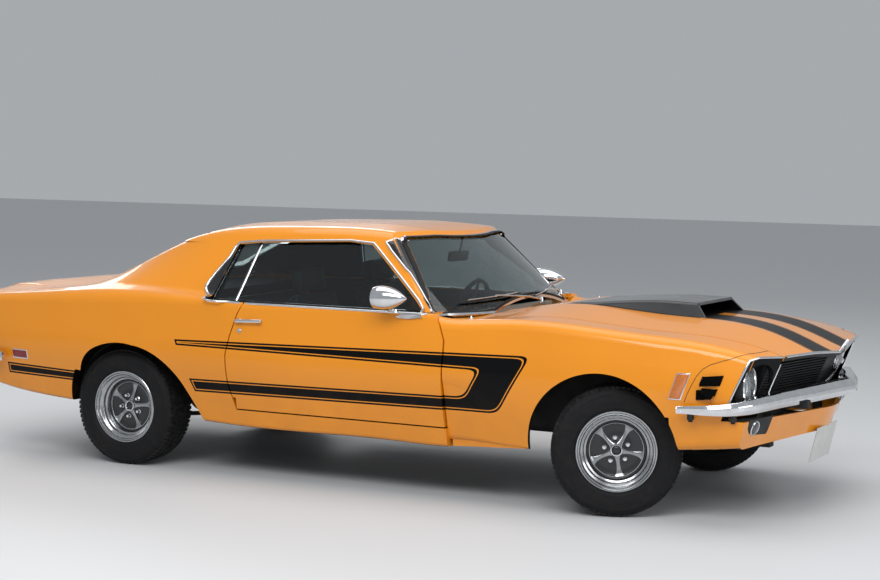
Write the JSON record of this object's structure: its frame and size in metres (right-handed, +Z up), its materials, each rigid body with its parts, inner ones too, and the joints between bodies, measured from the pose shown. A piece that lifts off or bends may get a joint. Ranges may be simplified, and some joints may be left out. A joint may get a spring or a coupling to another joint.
{
  "type": "muscle car",
  "caption": "Two-door muscle car with a notchback roof, a bonnet scoop, wide side stripes, chrome bumpers, opening doors, bonnet and boot, and steered front wheels.",
  "frame": {"origin": "on the ground below the middle of the car's overall length and width", "axes": "+X forwards, +Y to the car's left, +Z up"},
  "size_m": [4.7841, 2.016, 1.3062],
  "materials": {
    "body_paint": "gloss",
    "black_paint": "gloss",
    "chrome_trim": "polished",
    "clear_glass": "polished",
    "dark_steel": "satin",
    "rubber_tread": "matte",
    "rim_finish": "satin",
    "seat_cover": "satin",
    "trim_plastic": "matte",
    "lamp_lens": "polished",
    "red_lens": "polished",
    "engine_iron": "satin",
    "plate_blank": "satin",
    "steel_bare": "satin"
  },
  "bodies": {
    "body": {"cowl_and_bulkhead": "body_paint", "dashboard": "trim_plastic", "deck_panel": "body_paint", "driveline": "dark_steel", "engine": "engine_iron", "engine_bay": "body_paint", "exhaust_left": "steel_bare", "exhaust_right": "steel_bare", "fender_left": "body_paint", "fender_right": "body_paint", "floor_and_sills": "body_paint", "front_bumper": "chrome_trim", "front_plate": "plate_blank", "front_seat_left": "seat_cover", "front_seat_right": "seat_cover", "front_suspension": "dark_steel", "front_valance": "body_paint", "fuel_tank": "steel_bare", "grille": "black_paint", "headlamp_left": "lamp_lens", "headlamp_right": "lamp_lens", "leaf_spring_left": "dark_steel", "leaf_spring_right": "dark_steel", "nose_cap_left": "body_paint", "nose_cap_right": "body_paint", "quarter_glass_left": "clear_glass", "quarter_glass_right": "clear_glass", "quarter_panel_left": "body_paint", "quarter_panel_right": "body_paint", "rear_axle": "dark_steel", "rear_bumper": "chrome_trim", "rear_floor": "body_paint", "rear_seat": "seat_cover", "rear_window": "clear_glass", "roof": "body_paint", "tail_lamp_left": "red_lens", "tail_lamp_right": "red_lens", "tail_panel": "body_paint", "windshield": "clear_glass"},
    "hood": {"hood": "body_paint", "hood_scoop": "black_paint"},
    "trunk_lid": {"trunk_lid": "body_paint"},
    "steering_wheel": {"steering_wheel": "trim_plastic"},
    "door_left": {"door_left": "body_paint", "door_glass_left": "clear_glass", "door_mirror_left": "chrome_trim"},
    "knuckle_left": {"knuckle_left": "dark_steel"},
    "front_wheel_left": {"front_rim_left": "rim_finish", "front_tyre_left": "rubber_tread"},
    "rear_wheel_left": {"rear_rim_left": "rim_finish", "rear_tyre_left": "rubber_tread"},
    "door_right": {"door_right": "body_paint", "door_glass_right": "clear_glass", "door_mirror_right": "chrome_trim"},
    "knuckle_right": {"knuckle_right": "dark_steel"},
    "front_wheel_right": {"front_rim_right": "rim_finish", "front_tyre_right": "rubber_tread"},
    "rear_wheel_right": {"rear_rim_right": "rim_finish", "rear_tyre_right": "rubber_tread"}
  },
  "joints": [
    {"name": "door_left_hinge", "type": "hinge", "parent": "body", "child": "door_left", "pos_m": [0.616, 0.922, 0.6], "axis": [0, 0, -1], "range_deg": [0, 65]},
    {"name": "steer_left", "type": "hinge", "parent": "body", "child": "knuckle_left", "pos_m": [1.4415, 0.68, 0.308], "axis": [0, 0, 1], "range_deg": [-54, 10]},
    {"name": "front_wheel_left_spin", "type": "hinge", "parent": "knuckle_left", "child": "front_wheel_left", "pos_m": [1.4179, 0.73841, 0.308], "axis": [-0.3746, 0.9272, 0], "continuous": true},
    {"name": "rear_wheel_left_spin", "type": "hinge", "parent": "body", "child": "rear_wheel_left", "pos_m": [-1.3015, 0.743, 0.308], "axis": [0, 1, 0], "continuous": true},
    {"name": "door_right_hinge", "type": "hinge", "parent": "body", "child": "door_right", "pos_m": [0.616, -0.922, 0.6], "axis": [0, 0, 1], "range_deg": [0, 65]},
    {"name": "steer_right", "type": "hinge", "parent": "body", "child": "knuckle_right", "pos_m": [1.4415, -0.68, 0.308], "axis": [0, 0, 1], "range_deg": [-54, 10]},
    {"name": "front_wheel_right_spin", "type": "hinge", "parent": "knuckle_right", "child": "front_wheel_right", "pos_m": [1.4651, -0.73841, 0.308], "axis": [-0.3746, 0.9272, 0], "continuous": true},
    {"name": "rear_wheel_right_spin", "type": "hinge", "parent": "body", "child": "rear_wheel_right", "pos_m": [-1.3015, -0.743, 0.308], "axis": [0, 1, 0], "continuous": true},
    {"name": "hood_hinge", "type": "hinge", "parent": "body", "child": "hood", "pos_m": [0.582, 0, 0.888], "axis": [0, -1, 0], "range_deg": [0, 50]},
    {"name": "trunk_hinge", "type": "hinge", "parent": "body", "child": "trunk_lid", "pos_m": [-1.636, 0, 0.938], "axis": [0, 1, 0], "range_deg": [0, 70]},
    {"name": "steering_wheel_turn", "type": "hinge", "parent": "body", "child": "steering_wheel", "pos_m": [0.16, 0.375, 0.8], "axis": [-0.9514, 0, 0.3078], "range_deg": [-890, 170]}
  ],
  "couplings": [
    {"joint": "steer_right", "follows": "steer_left", "ratio": 1},
    {"joint": "steering_wheel_turn", "follows": "steer_left", "ratio": 16.364}
  ]
}
